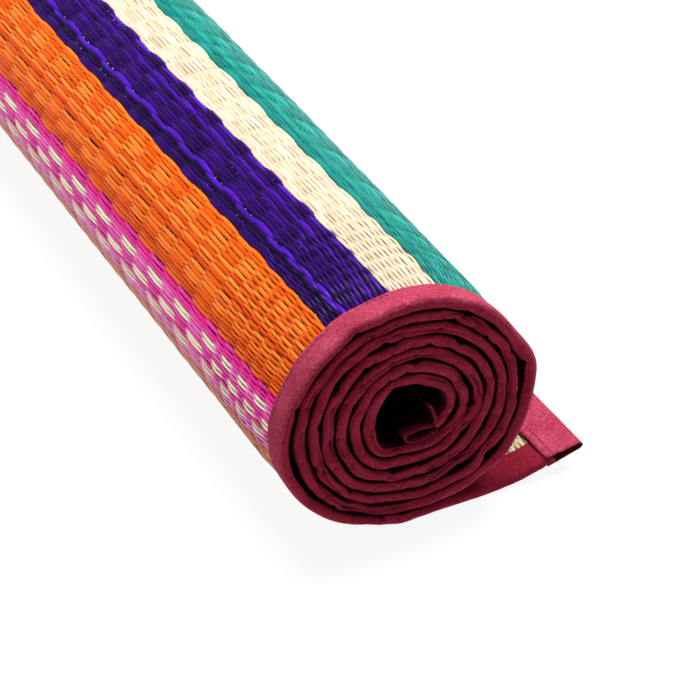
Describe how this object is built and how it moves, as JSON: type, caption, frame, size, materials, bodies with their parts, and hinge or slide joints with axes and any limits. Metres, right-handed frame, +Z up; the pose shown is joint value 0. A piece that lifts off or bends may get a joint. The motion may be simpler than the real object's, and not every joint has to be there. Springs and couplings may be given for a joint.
{
  "type": "rolled grass mat",
  "caption": "Striped korai grass sleeping mat rolled up on its width, its edges bound in cotton tape, with the loose end lying flat beside the roll.",
  "frame": {"origin": "on the floor, in the middle of the box around the roll and its loose end", "axes": "+Z up; +Y along the roll, from its near end to its far end; +X across the roll, towards the loose end"},
  "size_m": [0.1552, 0.91, 0.1209],
  "materials": {
    "dyed_reed": "split korai grass, dyed in stripes, with a slight waxy sheen",
    "maroon_cotton": "plain-woven matt cotton tape, folded and stitched"
  },
  "bodies": {
    "root": {"mat": "dyed_reed", "side_binding_near": "maroon_cotton", "side_binding_far": "maroon_cotton", "end_binding_loose": "maroon_cotton", "end_binding_core": "maroon_cotton"}
  },
  "joints": []
}
